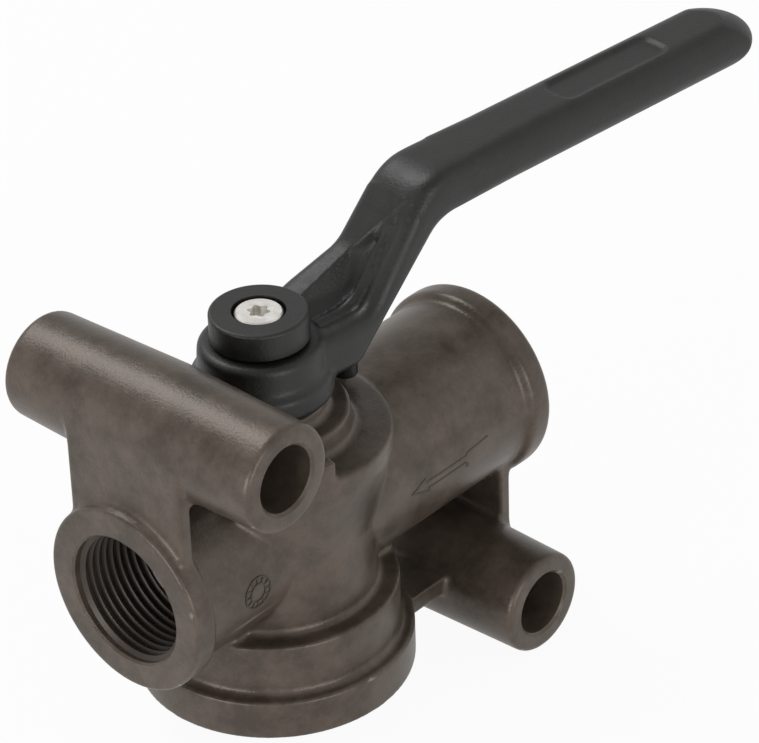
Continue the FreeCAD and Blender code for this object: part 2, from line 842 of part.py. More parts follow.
def lever_cap():
    """Round cap that stands on the hub, with the sunk seat for the screw's head."""
    hole = screw_r + 0.3
    foot = hub_top_z + 0.02
    foot_r = cap_r - 1.2
    seat = head_seat_z() - 0.02
    wire = arc_profile(
        [(hole, foot), (foot_r, foot), (foot_r, cap_bottom_z), (cap_r, cap_bottom_z), (cap_r, cap_top_z),
         (head_recess_r, cap_top_z), (head_recess_r, seat), (hole, seat)],
        {4: cap_edge},
    )
    return Part.Face(wire).revolve(V(0, 0, 0), V(0, 0, 1), 360)


def lever_screw():
    """Flat-headed screw down the middle of the hub, plain where its thread would be."""
    top = cap_top_z - head_sink
    low = cap_top_z - screw_len
    seat = head_seat_z()
    return turned([(0, low), (screw_r, low), (screw_r, seat), (head_r, seat), (head_r, top - 0.25),
                   (head_r - 0.25, top), (0, top)])


def turn_lever(shape):
    turned_shape = shape.copy()
    turned_shape.rotate(V(0, 0, 0), V(0, 0, 1), lever_angle)
    return turned_shape


def main():
    os.makedirs("parts", exist_ok=True)
    cover, z_groove = bottom_cover()
    low_seal, high_seal = plug_seal_heights()
    seal_inner = plug_r - seal_depth + seal_gap
    seal_outer = plug_r + plug_clear - 0.02
    foot = spring_foot_z() + 0.04
    middle = (foot + plug_bottom_z - 1.04) / 2.0
    nodes = {
        "housing": housing(),
        "base_ring": base_ring(),
        "inlet_port": inlet_port(),
        "outlet_tube": outlet_tube(),
        "outlet_port": outlet_port(),
        "fixing_tube_upper": bored_tube(upper_tube_x, upper_tube_z),
        "fixing_tube_lower": bored_tube(lower_tube_x, lower_tube_z),
        "web_upper": web_upper(),
        "web_lower": web_lower(),
        "web_floor": web_floor(),
        "plug": plug(),
        "plug_seal_lower": seal_ring(seal_inner, seal_outer, low_seal),
        "plug_seal_upper": seal_ring(seal_inner, seal_outer, high_seal),
        "port_seat_inlet": port_seat(-1),
        "port_seat_outlet": port_seat(1),
        "slide_washer": slide_washer(),
        "disc_spring_lower": disc_spring(foot, middle - 0.02, True),
        "disc_spring_upper": disc_spring(middle + 0.02, plug_bottom_z - 1.04, False),
        "bottom_cover": cover,
        "cover_seal": cover_seal(z_groove),
        "snap_ring": snap_ring(),
        "vent_flap": vent_flap(),
        "spindle": spindle(),
        "thrust_washer": thrust_washer(),
        "spindle_bush": spindle_bush(),
        "spindle_seal": seal_ring(shaft_r - seal_depth + seal_gap, shaft_r + shaft_clear - 0.02,
                                  spindle_seal_z),
        "dust_seal": dust_seal(),
        "lever": lever(),
        "stop_peg": stop_peg(),
        "lever_cap": lever_cap(),
        "lever_screw": lever_screw(),
    }
    for name, shape in nodes.items():
        solids = shape.Solids
        print(name, len(solids), "valid" if shape.isValid() else "BAD", round(shape.Volume, 1))
        shape.exportStep("parts/" + name + ".step")


main()
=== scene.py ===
import bpy
import json
import math
from mathutils import Matrix, Vector


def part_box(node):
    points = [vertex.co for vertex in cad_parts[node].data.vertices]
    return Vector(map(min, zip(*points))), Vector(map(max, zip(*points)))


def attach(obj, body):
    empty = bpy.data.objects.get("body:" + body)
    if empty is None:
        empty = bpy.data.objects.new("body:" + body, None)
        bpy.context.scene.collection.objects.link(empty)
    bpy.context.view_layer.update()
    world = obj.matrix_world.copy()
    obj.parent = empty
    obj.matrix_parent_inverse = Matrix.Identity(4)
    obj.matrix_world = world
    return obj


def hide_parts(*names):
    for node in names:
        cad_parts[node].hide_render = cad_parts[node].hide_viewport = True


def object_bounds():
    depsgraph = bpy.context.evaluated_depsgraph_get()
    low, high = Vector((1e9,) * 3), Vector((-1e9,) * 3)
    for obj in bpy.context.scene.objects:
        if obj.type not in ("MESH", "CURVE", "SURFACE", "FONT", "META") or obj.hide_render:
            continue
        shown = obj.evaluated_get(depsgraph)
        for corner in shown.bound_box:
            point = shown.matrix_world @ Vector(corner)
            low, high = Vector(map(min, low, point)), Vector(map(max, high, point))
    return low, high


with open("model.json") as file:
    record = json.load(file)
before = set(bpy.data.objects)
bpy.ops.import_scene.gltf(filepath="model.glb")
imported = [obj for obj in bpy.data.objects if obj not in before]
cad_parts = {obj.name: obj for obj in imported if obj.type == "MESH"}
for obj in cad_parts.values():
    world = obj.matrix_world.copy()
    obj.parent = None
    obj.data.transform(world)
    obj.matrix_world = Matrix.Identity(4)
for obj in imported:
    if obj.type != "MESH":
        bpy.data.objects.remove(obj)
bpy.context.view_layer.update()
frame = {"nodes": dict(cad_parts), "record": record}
cadNodes = frame["nodes"]
print("frame loaded with", len(cadNodes), "nodes")

# helpers: sizes in the dictionaries are in millimetres and degrees, Blender's are in metres and radians


def mm(length):
    return length * 0.001


def mmPoint(x, y, z):
    return Vector((mm(x), mm(y), mm(z)))


def toObjectMode():
    if bpy.context.mode != "OBJECT":
        bpy.ops.object.mode_set(mode="OBJECT")


def selectOnly(*pieces):
    toObjectMode()
    bpy.ops.object.select_all(action="DESELECT")
    for piece in pieces:
        piece.select_set(True)
    bpy.context.view_layer.objects.active = pieces[0]


def takePiece(name):  # the active object, such as a primitive that was just added, under its own name
    piece = bpy.context.object
    piece.name = name
    piece.data.name = name
    return piece


def deleteObject(piece):
    bpy.data.objects.remove(piece, do_unlink=True)


def clearSelection(mesh):
    for group in (mesh.vertices, mesh.edges, mesh.polygons):
        group.foreach_set("select", [False] * len(group))


def selectVertices(piece, isWanted):  # picked by place, then left in edit mode
    toObjectMode()
    clearSelection(piece.data)
    for vertex in piece.data.vertices:
        vertex.select = isWanted(vertex.co)
    bpy.ops.object.mode_set(mode="EDIT")
    bpy.ops.mesh.select_mode(type="VERT")


def selectFaces(piece, isWanted):  # picked by centre and normal, then left in edit mode
    toObjectMode()
    clearSelection(piece.data)
    for face in piece.data.polygons:
        face.select = isWanted(face.center, face.normal)
    bpy.ops.object.mode_set(mode="EDIT")
    bpy.ops.mesh.select_mode(type="FACE")


def smoothVertices(piece, isWanted, turns):
    selectVertices(piece, isWanted)
    bpy.ops.mesh.vertices_smooth(factor=0.5, repeat=turns)
    toObjectMode()


def turnNormalsOut(piece):
    selectOnly(piece)
    bpy.ops.object.mode_set(mode="EDIT")
    bpy.ops.mesh.select_all(action="SELECT")
    bpy.ops.mesh.normals_make_consistent(inside=False)
    bpy.ops.object.mode_set(mode="OBJECT")


def bakePlace(piece):  # leaves the object at the origin with its place in the mesh
    selectOnly(piece)
    bpy.ops.object.transform_apply(location=True, rotation=True, scale=True)


def applyModifier(piece, kind, **settings):
    selectOnly(piece)
    modifier = piece.modifiers.new(kind.lower(), kind)
    for key, value in settings.items():
        setattr(modifier, key, value)
    bpy.ops.object.modifier_apply(modifier=modifier.name)


def smoothShading(degrees):  # on the piece that is selected; sharper corners than this stay crisp
    bpy.ops.object.shade_smooth_by_angle(angle=math.radians(degrees))


def joinPieces(pieces, name):
    selectOnly(*pieces)
    if len(pieces) > 1:
        bpy.ops.object.join()
    return takePiece(name)


def copyOfNodes(names, newName):  # own meshes, with their loose triangles merged
    copies = []
    for name in names:
        copy = bpy.data.objects.new(name + "Copy", cadNodes[name].data.copy())
        bpy.context.scene.collection.objects.link(copy)
        selectOnly(copy)
        bpy.ops.object.mode_set(mode="EDIT")
        bpy.ops.mesh.select_all(action="SELECT")
        bpy.ops.mesh.remove_doubles(threshold=mm(0.001))
        bpy.ops.mesh.customdata_custom_splitnormals_clear()
        bpy.ops.object.mode_set(mode="OBJECT")
        copies.append(copy)
    return joinPieces(copies, newName)


# colours and materials

def fromHex(code):
    channels = [int(code[i:i + 2], 16) / 255 for i in (1, 3, 5)]
    return [c / 12.92 if c <= 0.04045 else ((c + 0.055) / 1.055) ** 2.4 for c in channels] + [1.0]


def addNode(owner, kind, inputs=(), **settings):  # inputs are values, or sockets to link from
    node = owner.node_tree.nodes.new(kind)
    for key, value in settings.items():
        setattr(node, key, value)
    for socket, value in dict(inputs).items():
        if hasattr(value, "is_output"):
            owner.node_tree.links.new(value, node.inputs[socket])
        else:
            node.inputs[socket].default_value = value
    return node


def newMaterial(name):
    material = bpy.data.materials.new(name)
    material.use_nodes = True
    return material, material.node_tree.nodes["Principled BSDF"]


skinNoise = {
    "cloudDetail": 6.0,
    "cloudRoughness": 0.72,
    "tintFrom": 0.38,  # the noise mostly stays between these two, so the tint runs from one to the other
    "tintTo": 0.62,
    "dullFrom": 0.3,
    "dullTo": 0.7,
    "grainDetail": 3.0,
    "grainDepth": 0.25,  # as a share of the grain's size
}


def skinMaterial(name, look):  # cloudy colour and shine from one noise, and a fine grain as a bump
    material, shader = newMaterial(name)
    place = addNode(material, "ShaderNodeTexCoord").outputs["Object"]
    cloud = addNode(material, "ShaderNodeTexNoise", {
        "Vector": place,
        "Scale": 1000 / look["cloudMm"],
        "Detail": skinNoise["cloudDetail"],
        "Roughness": skinNoise["cloudRoughness"],
    })
    grain = addNode(material, "ShaderNodeTexNoise", {
        "Vector": place,
        "Scale": 1000 / look["grainMm"],
        "Detail": skinNoise["grainDetail"],
    })
    spread = addNode(material, "ShaderNodeMapRange", {
        "Value": cloud.outputs["Fac"],
        "From Min": skinNoise["tintFrom"],
        "From Max": skinNoise["tintTo"],
    })
    tint = addNode(material, "ShaderNodeMix", {
        0: spread.outputs[0],
        6: fromHex(look["dark"]),
        7: fromHex(look["pale"]),
    }, data_type="RGBA")
    dull = addNode(material, "ShaderNodeMapRange", {
        "Value": cloud.outputs["Fac"],
        "From Min": skinNoise["dullFrom"],
        "From Max": skinNoise["dullTo"],
        "To Min": look["roughness"] - look["roughnessSpread"],
        "To Max": look["roughness"] + look["roughnessSpread"],
    })
    relief = addNode(material, "ShaderNodeBump", {
        "Height": grain.outputs["Fac"],
        "Strength": look["grainStrength"],
        "Distance": mm(look["grainMm"] * skinNoise["grainDepth"]),
    })
    colour = tint.outputs[2]
    if "paintedEdgeHighlight" in look:  # paler on sharp corners: a painted edge highlight
        paintedEdgeHighlightMask = addNode(material, "ShaderNodeMapRange", {
            "Value": addNode(material, "ShaderNodeNewGeometry").outputs["Pointiness"],
            "From Min": look["paintedEdgeHighlightFrom"],
            "From Max": look["paintedEdgeHighlightTo"],
        })
        colour = addNode(material, "ShaderNodeMix", {
            0: paintedEdgeHighlightMask.outputs[0],
            6: colour,
            7: fromHex(look["paintedEdgeHighlight"]),
        }, data_type="RGBA").outputs[2]
    material.node_tree.links.new(colour, shader.inputs["Base Color"])
    material.node_tree.links.new(dull.outputs[0], shader.inputs["Roughness"])
    material.node_tree.links.new(relief.outputs["Normal"], shader.inputs["Normal"])
    shader.inputs["Metallic"].default_value = look["metallic"]
    return material


# die-cast aluminium, hard anodised: a brown-grey skin, satin with broad pale highlights, clouded where
# the melt ran cold, painted paler on sharp corners as an edge highlight, with a fine grain that breaks up the
# shine
castAluminium = skinMaterial("hardAnodisedCastAluminium", {
    "dark": "#473D34", "pale": "#5E5349", "metallic": 0.25, "roughness": 0.36, "roughnessSpread": 0.06,
    "cloudMm": 7.0, "grainMm": 0.45, "grainStrength": 0.45,
    "paintedEdgeHighlight": "#8A7F74", "paintedEdgeHighlightFrom": 0.545, "paintedEdgeHighlightTo": 0.66})
# the same metal in the cut threads, darker and more even: painted shade inside the ports, and no painted edge
# highlight on the crests
shadedThreadAluminium = skinMaterial("hardAnodisedCutThreadPaintedShade", {
    "dark": "#342C25", "pale": "#3E352D", "metallic": 0.25, "roughness": 0.42, "roughnessSpread": 0.04,
    "cloudMm": 7.0, "grainMm": 0.4, "grainStrength": 0.2})
# the same skin on the thin raised marks, darker: painted shade, so that they read as fine dark lines
shadedMarkAluminium = skinMaterial("hardAnodisedMarkPaintedShade", {
    "dark": "#3E352D", "pale": "#4B4138", "metallic": 0.25, "roughness": 0.45, "roughnessSpread": 0.04,
    "cloudMm": 3.0, "grainMm": 0.4, "grainStrength": 0.2})
# turned aluminium under the same anodising: even in colour and a little smoother
turnedAluminium = skinMaterial("hardAnodisedTurnedAluminium", {
    "dark": "#5A544C", "pale": "#655E55", "metallic": 0.4, "roughness": 0.33, "roughnessSpread": 0.04,
    "cloudMm": 14.0, "grainMm": 0.4, "grainStrength": 0.15})
# glass-filled nylon, injection moulded in black: satin, with the dusty grain of the spark-eroded mould
blackNylon = skinMaterial("blackGlassFilledNylon", {
    "dark": "#11110F", "pale": "#1D1D1B", "metallic": 0.0, "roughness": 0.46, "roughnessSpread": 0.06,
    "cloudMm": 5.0, "grainMm": 0.5, "grainStrength": 0.45})
# stainless steel, cold headed and tumbled: bright and nearly white, with soft reflections
brightStainless = skinMaterial("tumbledStainlessSteel", {
    "dark": "#E2DFDA", "pale": "#F2EFEA", "metallic": 1.0, "roughness": 0.42, "roughnessSpread": 0.05,
    "cloudMm": 1.6, "grainMm": 0.25, "grainStrength": 0.1})
# steel with a black oxide skin, oiled: nearly black with a soft sheen
blackOxideSteel = skinMaterial("oiledBlackOxideSteel", {
    "dark": "#1E1E1E", "pale": "#2A2A29", "metallic": 0.6, "roughness": 0.34, "roughnessSpread": 0.05,
    "cloudMm": 3.0, "grainMm": 0.3, "grainStrength": 0.1})
# tempered spring steel, tumbled: grey-blue with worn bright spots
springSteel = skinMaterial("tumbledSpringSteel", {
    "dark": "#5C5D5F", "pale": "#7A7B7D", "metallic": 1.0, "roughness": 0.36, "roughnessSpread": 0.08,
    "cloudMm": 4.0, "grainMm": 0.3, "grainStrength": 0.15})
# nitrile rubber, moulded and greased: black with a soft sheen
greasedRubber = skinMaterial("greasedNitrileRubber", {
    "dark": "#131313", "pale": "#1B1B1B", "metallic": 0.0, "roughness": 0.5, "roughnessSpread": 0.08,
    "cloudMm": 5.0, "grainMm": 0.3, "grainStrength": 0.15})
# sliding plastic with little friction, turned from white rod: chalky and even
whiteSeatPlastic = skinMaterial("turnedWhiteSeatPlastic", {
    "dark": "#D8D6CF", "pale": "#E2E0DA", "metallic": 0.0, "roughness": 0.45, "roughnessSpread": 0.04,
    "cloudMm": 6.0, "grainMm": 0.4, "grainStrength": 0.1})

finishOfSlot = {
    "cast_body": castAluminium,
    "plug_metal": turnedAluminium,
    "cover_metal": turnedAluminium,
    "spring_steel": springSteel,
    "spindle_steel": brightStainless,
    "peg_steel": blackOxideSteel,
    "screw_steel": brightStainless,
    "lever_plastic": blackNylon,
    "seat_plastic": whiteSeatPlastic,
    "seal_rubber": greasedRubber,
}


def finishPiece(piece, slotName, body, finish=None):  # its slot's own finish, unless another is given
    piece.data.materials.clear()
    piece.data.materials.append(finish or finishOfSlot[slotName])
    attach(piece, body)


for row in frame["record"]["subparts"]:
    node = cadNodes[row["node"]]
    node.data.materials.clear()
    node.data.materials.append(finishOfSlot[row["material_slot"]])
print("materials made:", len(bpy.data.materials))


# skins: the casting and the lever as one soft-cornered surface each

def softSkin(piece, look):  # grown and shrunk again, which fills its hollow corners with a radius
    voxel = mm(look["voxel"])
    for push in (mm(look["hollowCorner"]), -mm(look["hollowCorner"])):
        applyModifier(piece, "REMESH", mode="VOXEL", voxel_size=voxel)
        applyModifier(piece, "DISPLACE", strength=push, mid_level=0.0)
    applyModifier(piece, "REMESH", mode="VOXEL", voxel_size=voxel)
    applyModifier(piece, "SMOOTH", factor=0.5, iterations=look["softTurns"])
    print(piece.name, "skin:", len(piece.data.polygons), "faces")


def thinOut(piece, triangles):
    count = sum(len(face.vertices) - 2 for face in piece.data.polygons)
    if count > triangles:
        applyModifier(piece, "DECIMATE", ratio=triangles / count)


def cutAway(piece, cutters):
    tool = joinPieces(cutters, "cutter")
    turnNormalsOut(tool)
    applyModifier(piece, "BOOLEAN", operation="DIFFERENCE", object=tool, solver="MANIFOLD")
    deleteObject(tool)


casting = {
    "nodes": ["housing", "base_ring", "inlet_port", "outlet_tube", "outlet_port", "fixing_tube_upper",
              "fixing_tube_lower", "web_upper", "web_lower", "web_floor"],
    "voxel": 0.3,
    "hollowCorner": 0.5,
    "softTurns": 2,
    "triangles": 180000,
    "holeSides": 96,
    "plugWall": 1.2,  # how much wider than its hole each plug is
    "flare": 1.0,  # how far the mouths' cone runs out of the metal
    "smoothAngle": 40,
}
fixingTubes = {  # both run along Y
    "places": [(-22.04, 57.28), (37.59, 0.87)],
    "halfLength": 26.0,
    "holeRadius": 5.5,
    "chamfer": 0.5,
}
ports = {  # both run along X at one height
    "height": 29.35,
    "boreRadius": 11.03,
    "boreLength": 13.0,
    "chamfer": 0.35,
    "inlet": {"face": -33.06, "inward": 1, "plugDepth": 6.06},
    "outlet": {"face": 51.2, "inward": -1, "plugDepth": 6.2},
}


def tubeHole(x, z):
    half = fixingTubes["halfLength"]
    return {"axis": "Y", "middle": (x, 0, z), "radius": fixingTubes["holeRadius"], "halfLength": half,
            "chamfer": fixingTubes["chamfer"], "openEnds": (-1, 1), "plug": (-half, half)}


def portHole(face, inward, plugDepth):  # only the mouth is plugged, as the thread hides the wall behind it
    half = ports["boreLength"] / 2
    return {"axis": "X", "middle": (face + inward * half, 0, ports["height"]), "radius": ports["boreRadius"],
            "halfLength": half, "chamfer": ports["chamfer"], "openEnds": (-inward,),
            "plug": sorted((face, face + inward * plugDepth))}


def axisCylinder(name, axis, middle, radius, length):
    turned = {"X": (0, math.pi / 2, 0), "Y": (math.pi / 2, 0, 0)}[axis]
    bpy.ops.mesh.primitive_cylinder_add(vertices=casting["holeSides"], radius=mm(radius), depth=mm(length),
                                        location=mmPoint(*middle), rotation=turned)
    piece = takePiece(name)
    bakePlace(piece)
    return piece


def holePlug(hole):  # fills a hole, so that the skin is flat where it is cut again
    start, end = hole["plug"]
    middle = list(hole["middle"])
    middle["XYZ".index(hole["axis"])] = (start + end) / 2
    return axisCylinder("holePlug", hole["axis"], middle, hole["radius"] + casting["plugWall"], end - start)


def holeCutter(hole):
    i = "XYZ".index(hole["axis"])
    length = 2 * (hole["halfLength"] - hole["chamfer"])
    piece = axisCylinder("holeCutter", hole["axis"], hole["middle"], hole["radius"], length)
    flare = hole["chamfer"] + casting["flare"]
    push = [0, 0, 0]
    widen = [(hole["radius"] + flare) / hole["radius"]] * 3
    widen[i] = 1
    for end in hole["openEnds"]:  # the mouth opens like a cone
        push[i] = mm(end * flare)
        selectFaces(piece, lambda centre, normal: normal[i] * end > 0.9)  # the flat cap at this end
        bpy.ops.mesh.extrude_region_move(TRANSFORM_OT_translate={"value": push})
        bpy.ops.transform.resize(value=widen, center_override=mmPoint(*hole["middle"]))
    toObjectMode()
    return piece


holes = [tubeHole(x, z) for x, z in fixingTubes["places"]]
holes += [portHole(**ports[side]) for side in ("inlet", "outlet")]
plugs = [holePlug(hole) for hole in holes]
castSkin = joinPieces([copyOfNodes(casting["nodes"], "castSkin")] + plugs, "castSkin")
softSkin(castSkin, casting)
thinOut(castSkin, casting["triangles"])
cutAway(castSkin, [holeCutter(hole) for hole in holes])
smoothShading(casting["smoothAngle"])
finishPiece(castSkin, "cast_body", "body")
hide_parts(*casting["nodes"])

lever = {
    "voxel": 0.25,
    "hollowCorner": 0.5,
    "softTurns": 4,
    "triangles": 150000,
    "angle": -6.0,
    "fillers": [  # blocks that raise the pockets' floors: middle and size run along, across and up
        {"middle": (13.1, -4.43, 58.58), "size": (9.0, 3.24, 4.0), "tilt": 0.0, "roll": -32.0},
        {"middle": (23.69, -4.33, 65.8), "size": (18.0, 3.24, 3.6), "tilt": 50.7, "roll": -32.0},
        {"middle": (14.1, 1.63, 59.47), "size": (11.2, 5.4, 4.0), "tilt": 8.0, "roll": 36.0},
        {"middle": (15.54, 3.07, 62.2), "size": (13.4, 3.6, 3.0), "tilt": 20.0, "roll": 62.0},
        {"middle": (23.47, 1.3, 64.03), "size": (21.0, 5.2, 4.0), "tilt": 50.7, "roll": 25.0},
    ],
    "crest": {"along": (28.5, 41.0), "above": 72.0, "turns": 70},
    "pockets": [  # stretches that are smoothed, with their heights measured from the rib's top
        {"along": (16.0, 26.8), "across": (-1.1, 3.0), "height": (-5.0, -0.3), "turns": 60},
        {"along": (9.5, 27.2), "across": (-5.4, -2.8), "height": (-1.8, 1.2), "turns": 30},
    ],
    "ribTop": 61.1,  # level as far as ribClimbFrom, then climbing by ribSlope
    "ribClimbFrom": 16.8,
    "ribSlope": 1.222,
}
leverTurn = math.radians(lever["angle"])
leverAlong = Vector((math.cos(leverTurn), math.sin(leverTurn), 0))
leverAcross = Vector((-leverAlong.y, leverAlong.x, 0))


def pocketFiller(middle, size, tilt, roll):
    bpy.ops.mesh.primitive_cube_add(size=1)
    block = takePiece("pocketFiller")
    block.scale = [mm(length) for length in size]
    bakePlace(block)
    block.rotation_euler = (math.radians(roll), 0, 0)
    bakePlace(block)
    block.rotation_euler = (0, -math.radians(tilt), 0)
    block.location = mmPoint(*middle)
    bakePlace(block)
    block.rotation_euler = (0, 0, leverTurn)
    bakePlace(block)
    return block


def aboveRib(along, z):  # how far a point lies above the line of the rib's top
    return z - lever["ribTop"] - lever["ribSlope"] * max(0, along - lever["ribClimbFrom"])


def isOnCrest(co):
    start, end = [mm(along) for along in lever["crest"]["along"]]
    return start < co.dot(leverAlong) < end and co.z > mm(lever["crest"]["above"])


def isInStretch(co, stretch):
    along, across, z = co.dot(leverAlong) * 1000, co.dot(leverAcross) * 1000, co.z * 1000
    places = {"along": along, "across": across, "height": aboveRib(along, z)}
    return all(stretch[key][0] < place < stretch[key][1] for key, place in places.items())


fillers = [pocketFiller(**row) for row in lever["fillers"]]
leverSkin = joinPieces([copyOfNodes(["lever"], "leverSkin")] + fillers, "leverSkin")
softSkin(leverSkin, lever)
smoothVertices(leverSkin, isOnCrest, lever["crest"]["turns"])
for stretch in lever["pockets"]:
    smoothVertices(leverSkin, lambda co: isInStretch(co, stretch), stretch["turns"])
thinOut(leverSkin, lever["triangles"])
selectOnly(leverSkin)
bpy.ops.object.shade_smooth()
finishPiece(leverSkin, "lever_plastic", "rotor")
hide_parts("lever")
print("skins in place")


# marks raised on the casting: an outlined flow arrow and a ring of plain ticks

markShape = {
    "stripParts": 8,  # cuts along a line, so that it bends over the round casting
    "ringSides": 48,
    "smoothAngle": 30,
}


def markStrip(start, end, look):  # one line of a mark, given in X and Z, in front of the casting
    run = Vector((end[0] - start[0], 0, end[1] - start[1]))
    middle = mmPoint((start[0] + end[0]) / 2, look["fromY"], (start[1] + end[1]) / 2)
    bpy.ops.mesh.primitive_grid_add(x_subdivisions=markShape["stripParts"], y_subdivisions=1, size=1,
                                    location=middle, rotation=(math.pi / 2, -math.atan2(run.z, run.x), 0))
    strip = takePiece("markStrip")
    strip.scale = (mm(run.length + look["width"]), mm(look["width"]), 1)
    bakePlace(strip)
    return strip


def markRing(centre, radius, look):
    middle = mmPoint(centre[0], look["fromY"], centre[1])
    inner = radius - look["width"] / 2
    bpy.ops.mesh.primitive_circle_add(vertices=markShape["ringSides"], radius=mm(inner), location=middle,
                                      rotation=(math.pi / 2, 0, 0))
    ring = takePiece("markRing")
    bakePlace(ring)
    selectVertices(ring, lambda co: True)
    bpy.ops.mesh.extrude_region_move()
    widen = (inner + look["width"]) / inner
    bpy.ops.transform.resize(value=(widen, 1, widen), center_override=middle)
    toObjectMode()
    return ring


def raiseMark(name, parts, look):  # laid on the casting's surface and given its thickness
    mark = joinPieces(parts, name)
    applyModifier(mark, "SHRINKWRAP", target=castSkin, wrap_method="PROJECT", use_project_y=True,
                  use_positive_direction=True)
    applyModifier(mark, "SOLIDIFY", thickness=mm(2 * look["proud"]), offset=0)
    turnNormalsOut(mark)
    smoothShading(markShape["smoothAngle"])
    # the marks' darker finish is painted shade along the lines
    finishPiece(mark, "cast_body", "body", shadedMarkAluminium)


flowArrow = {
    "fromY": -17.5,
    "lines": [  # the head's sides, its inner corners, the shaft's sides and the bent tail
        ((17.2, 29.2), (20.4, 30.6)), ((17.2, 29.2), (21.4, 27.8)), ((20.4, 30.6), (20.9, 29.8)),
        ((21.4, 27.8), (21.3, 28.5)), ((20.9, 29.8), (30.4, 29.8)), ((21.3, 28.5), (30.4, 28.5)),
        ((30.9, 30.3), (35.8, 30.9)), ((30.4, 29.8), (30.9, 30.3))],
    "dot": (30.9, 27.8),
    "dotRadius": 0.22,
    "width": 0.36,
    "proud": 0.07,
}
tickRing = {
    "fromY": -16.5,
    "centre": (-17.9, 29.0),
    "rings": [2.75, 1.6],
    "ticks": 12,
    "tickFrom": 1.95,
    "tickTo": 2.45,
    "width": 0.26,
    "proud": 0.13,
}


def tickLine(turn):
    x, z = tickRing["centre"]
    start, end = [(x + radius * math.cos(turn), z + radius * math.sin(turn))
                  for radius in (tickRing["tickFrom"], tickRing["tickTo"])]
    return markStrip(start, end, tickRing)


arrowParts = [markStrip(start, end, flowArrow) for start, end in flowArrow["lines"]]
arrowParts.append(markRing(flowArrow["dot"], flowArrow["dotRadius"], flowArrow))
raiseMark("flowArrow", arrowParts, flowArrow)
ringParts = [markRing(tickRing["centre"], radius, tickRing) for radius in tickRing["rings"]]
ringParts += [tickLine(2 * math.pi * i / tickRing["ticks"]) for i in range(tickRing["ticks"])]
raiseMark("tickRing", ringParts, tickRing)
print("marks made")


# threads of both ports

thread = {
    "rootRadius": 11.05,
    "crestRadius": 10.3,
    "pitch": 1.5,
    "turns": 9,
    "rootFlat": 1.34,
    "crestFlat": 0.3,
    "startDepth": 0.95,
    "steps": 96,
    "smoothAngle": 25,
}


def cutThread(name, face, inward):  # one rib's section, wound into the port along the ports' axis
    depth = thread["rootRadius"] - thread["crestRadius"]
    middle = (thread["rootRadius"] + thread["crestRadius"]) / 2
    bpy.ops.mesh.primitive_plane_add(size=1, rotation=(math.pi / 2, 0, 0))
    piece = takePiece(name)
    piece.scale = (mm(thread["rootFlat"]), mm(depth), 1)
    bakePlace(piece)
    selectVertices(piece, lambda co: co.z < 0)  # the crest, narrowed
    narrow = thread["crestFlat"] / thread["rootFlat"]
    bpy.ops.transform.resize(value=(narrow, 1, 1), center_override=(0, 0, 0))
    bpy.ops.mesh.select_all(action="SELECT")
    bpy.ops.transform.translate(value=(mm(inward * thread["startDepth"]), 0, mm(middle)))
    bpy.ops.mesh.delete(type="ONLY_FACE")
    applyModifier(piece, "SCREW", axis="X", screw_offset=mm(inward * thread["pitch"]),
                  iterations=thread["turns"], steps=thread["steps"], render_steps=thread["steps"])
    selectVertices(piece, lambda co: True)
    bpy.ops.mesh.fill_holes(sides=4)  # the rib's two ends
    turnNormalsOut(piece)
    piece.location = mmPoint(face, 0, ports["height"])
    bakePlace(piece)
    smoothShading(thread["smoothAngle"])
    # the darker thread finish is painted shade inside the port
    finishPiece(piece, "cast_body", "body", shadedThreadAluminium)


for side in ("inlet", "outlet"):
    cutThread(side + "Thread", ports[side]["face"], ports[side]["inward"])
print("threads made")


# screw with its six-lobed socket

screw = {
    "lobeRadius": 1.85,
    "hollowRadius": 1.35,
    "lobes": 6,
    "pointsPerLobe": 8,
    "socketDepth": 1.6,
    "cutterStand": 0.3,  # how far the cutter stands out of the screw's top
    "smoothAngle": 35,
}
lobeStep = 360 / screw["lobes"]
pointStep = lobeStep / screw["pointsPerLobe"]


def fromLobe(co):  # angle between a point and the nearest lobe
    turn = math.degrees(math.atan2(co.y, co.x))
    return abs((turn + lobeStep / 2) % lobeStep - lobeStep / 2)


def lobedCutter(top):  # a circle drawn in between its lobes, then pulled down into the screw
    bpy.ops.mesh.primitive_circle_add(vertices=screw["lobes"] * screw["pointsPerLobe"],
                                      radius=mm(screw["lobeRadius"]), fill_type="NGON",
                                      location=(0, 0, top + mm(screw["cutterStand"])))
    cutter = takePiece("socketCutter")
    bakePlace(cutter)
    for count in range(1, screw["pointsPerLobe"] // 2 + 1):
        angle = count * pointStep
        wave = (1 + math.cos(math.radians(angle * screw["lobes"]))) / 2
        radius = screw["hollowRadius"] + (screw["lobeRadius"] - screw["hollowRadius"]) * wave
        shrink = radius / screw["lobeRadius"]
        selectVertices(cutter, lambda co: abs(fromLobe(co) - angle) < pointStep / 2)
        bpy.ops.transform.resize(value=(shrink, shrink, 1), center_override=(0, 0, 0))
    selectFaces(cutter, lambda centre, normal: True)
    drop = -mm(screw["socketDepth"] + screw["cutterStand"])
    bpy.ops.mesh.extrude_region_move(TRANSFORM_OT_translate={"value": (0, 0, drop)})
    toObjectMode()
    return cutter


starScrew = copyOfNodes(["lever_screw"], "starScrew")
cutAway(starScrew, [lobedCutter(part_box("lever_screw")[1].z)])
smoothShading(screw["smoothAngle"])
finishPiece(starScrew, "screw_steel", "rotor")
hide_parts("lever_screw")
print("screw made")


# light, floor and camera

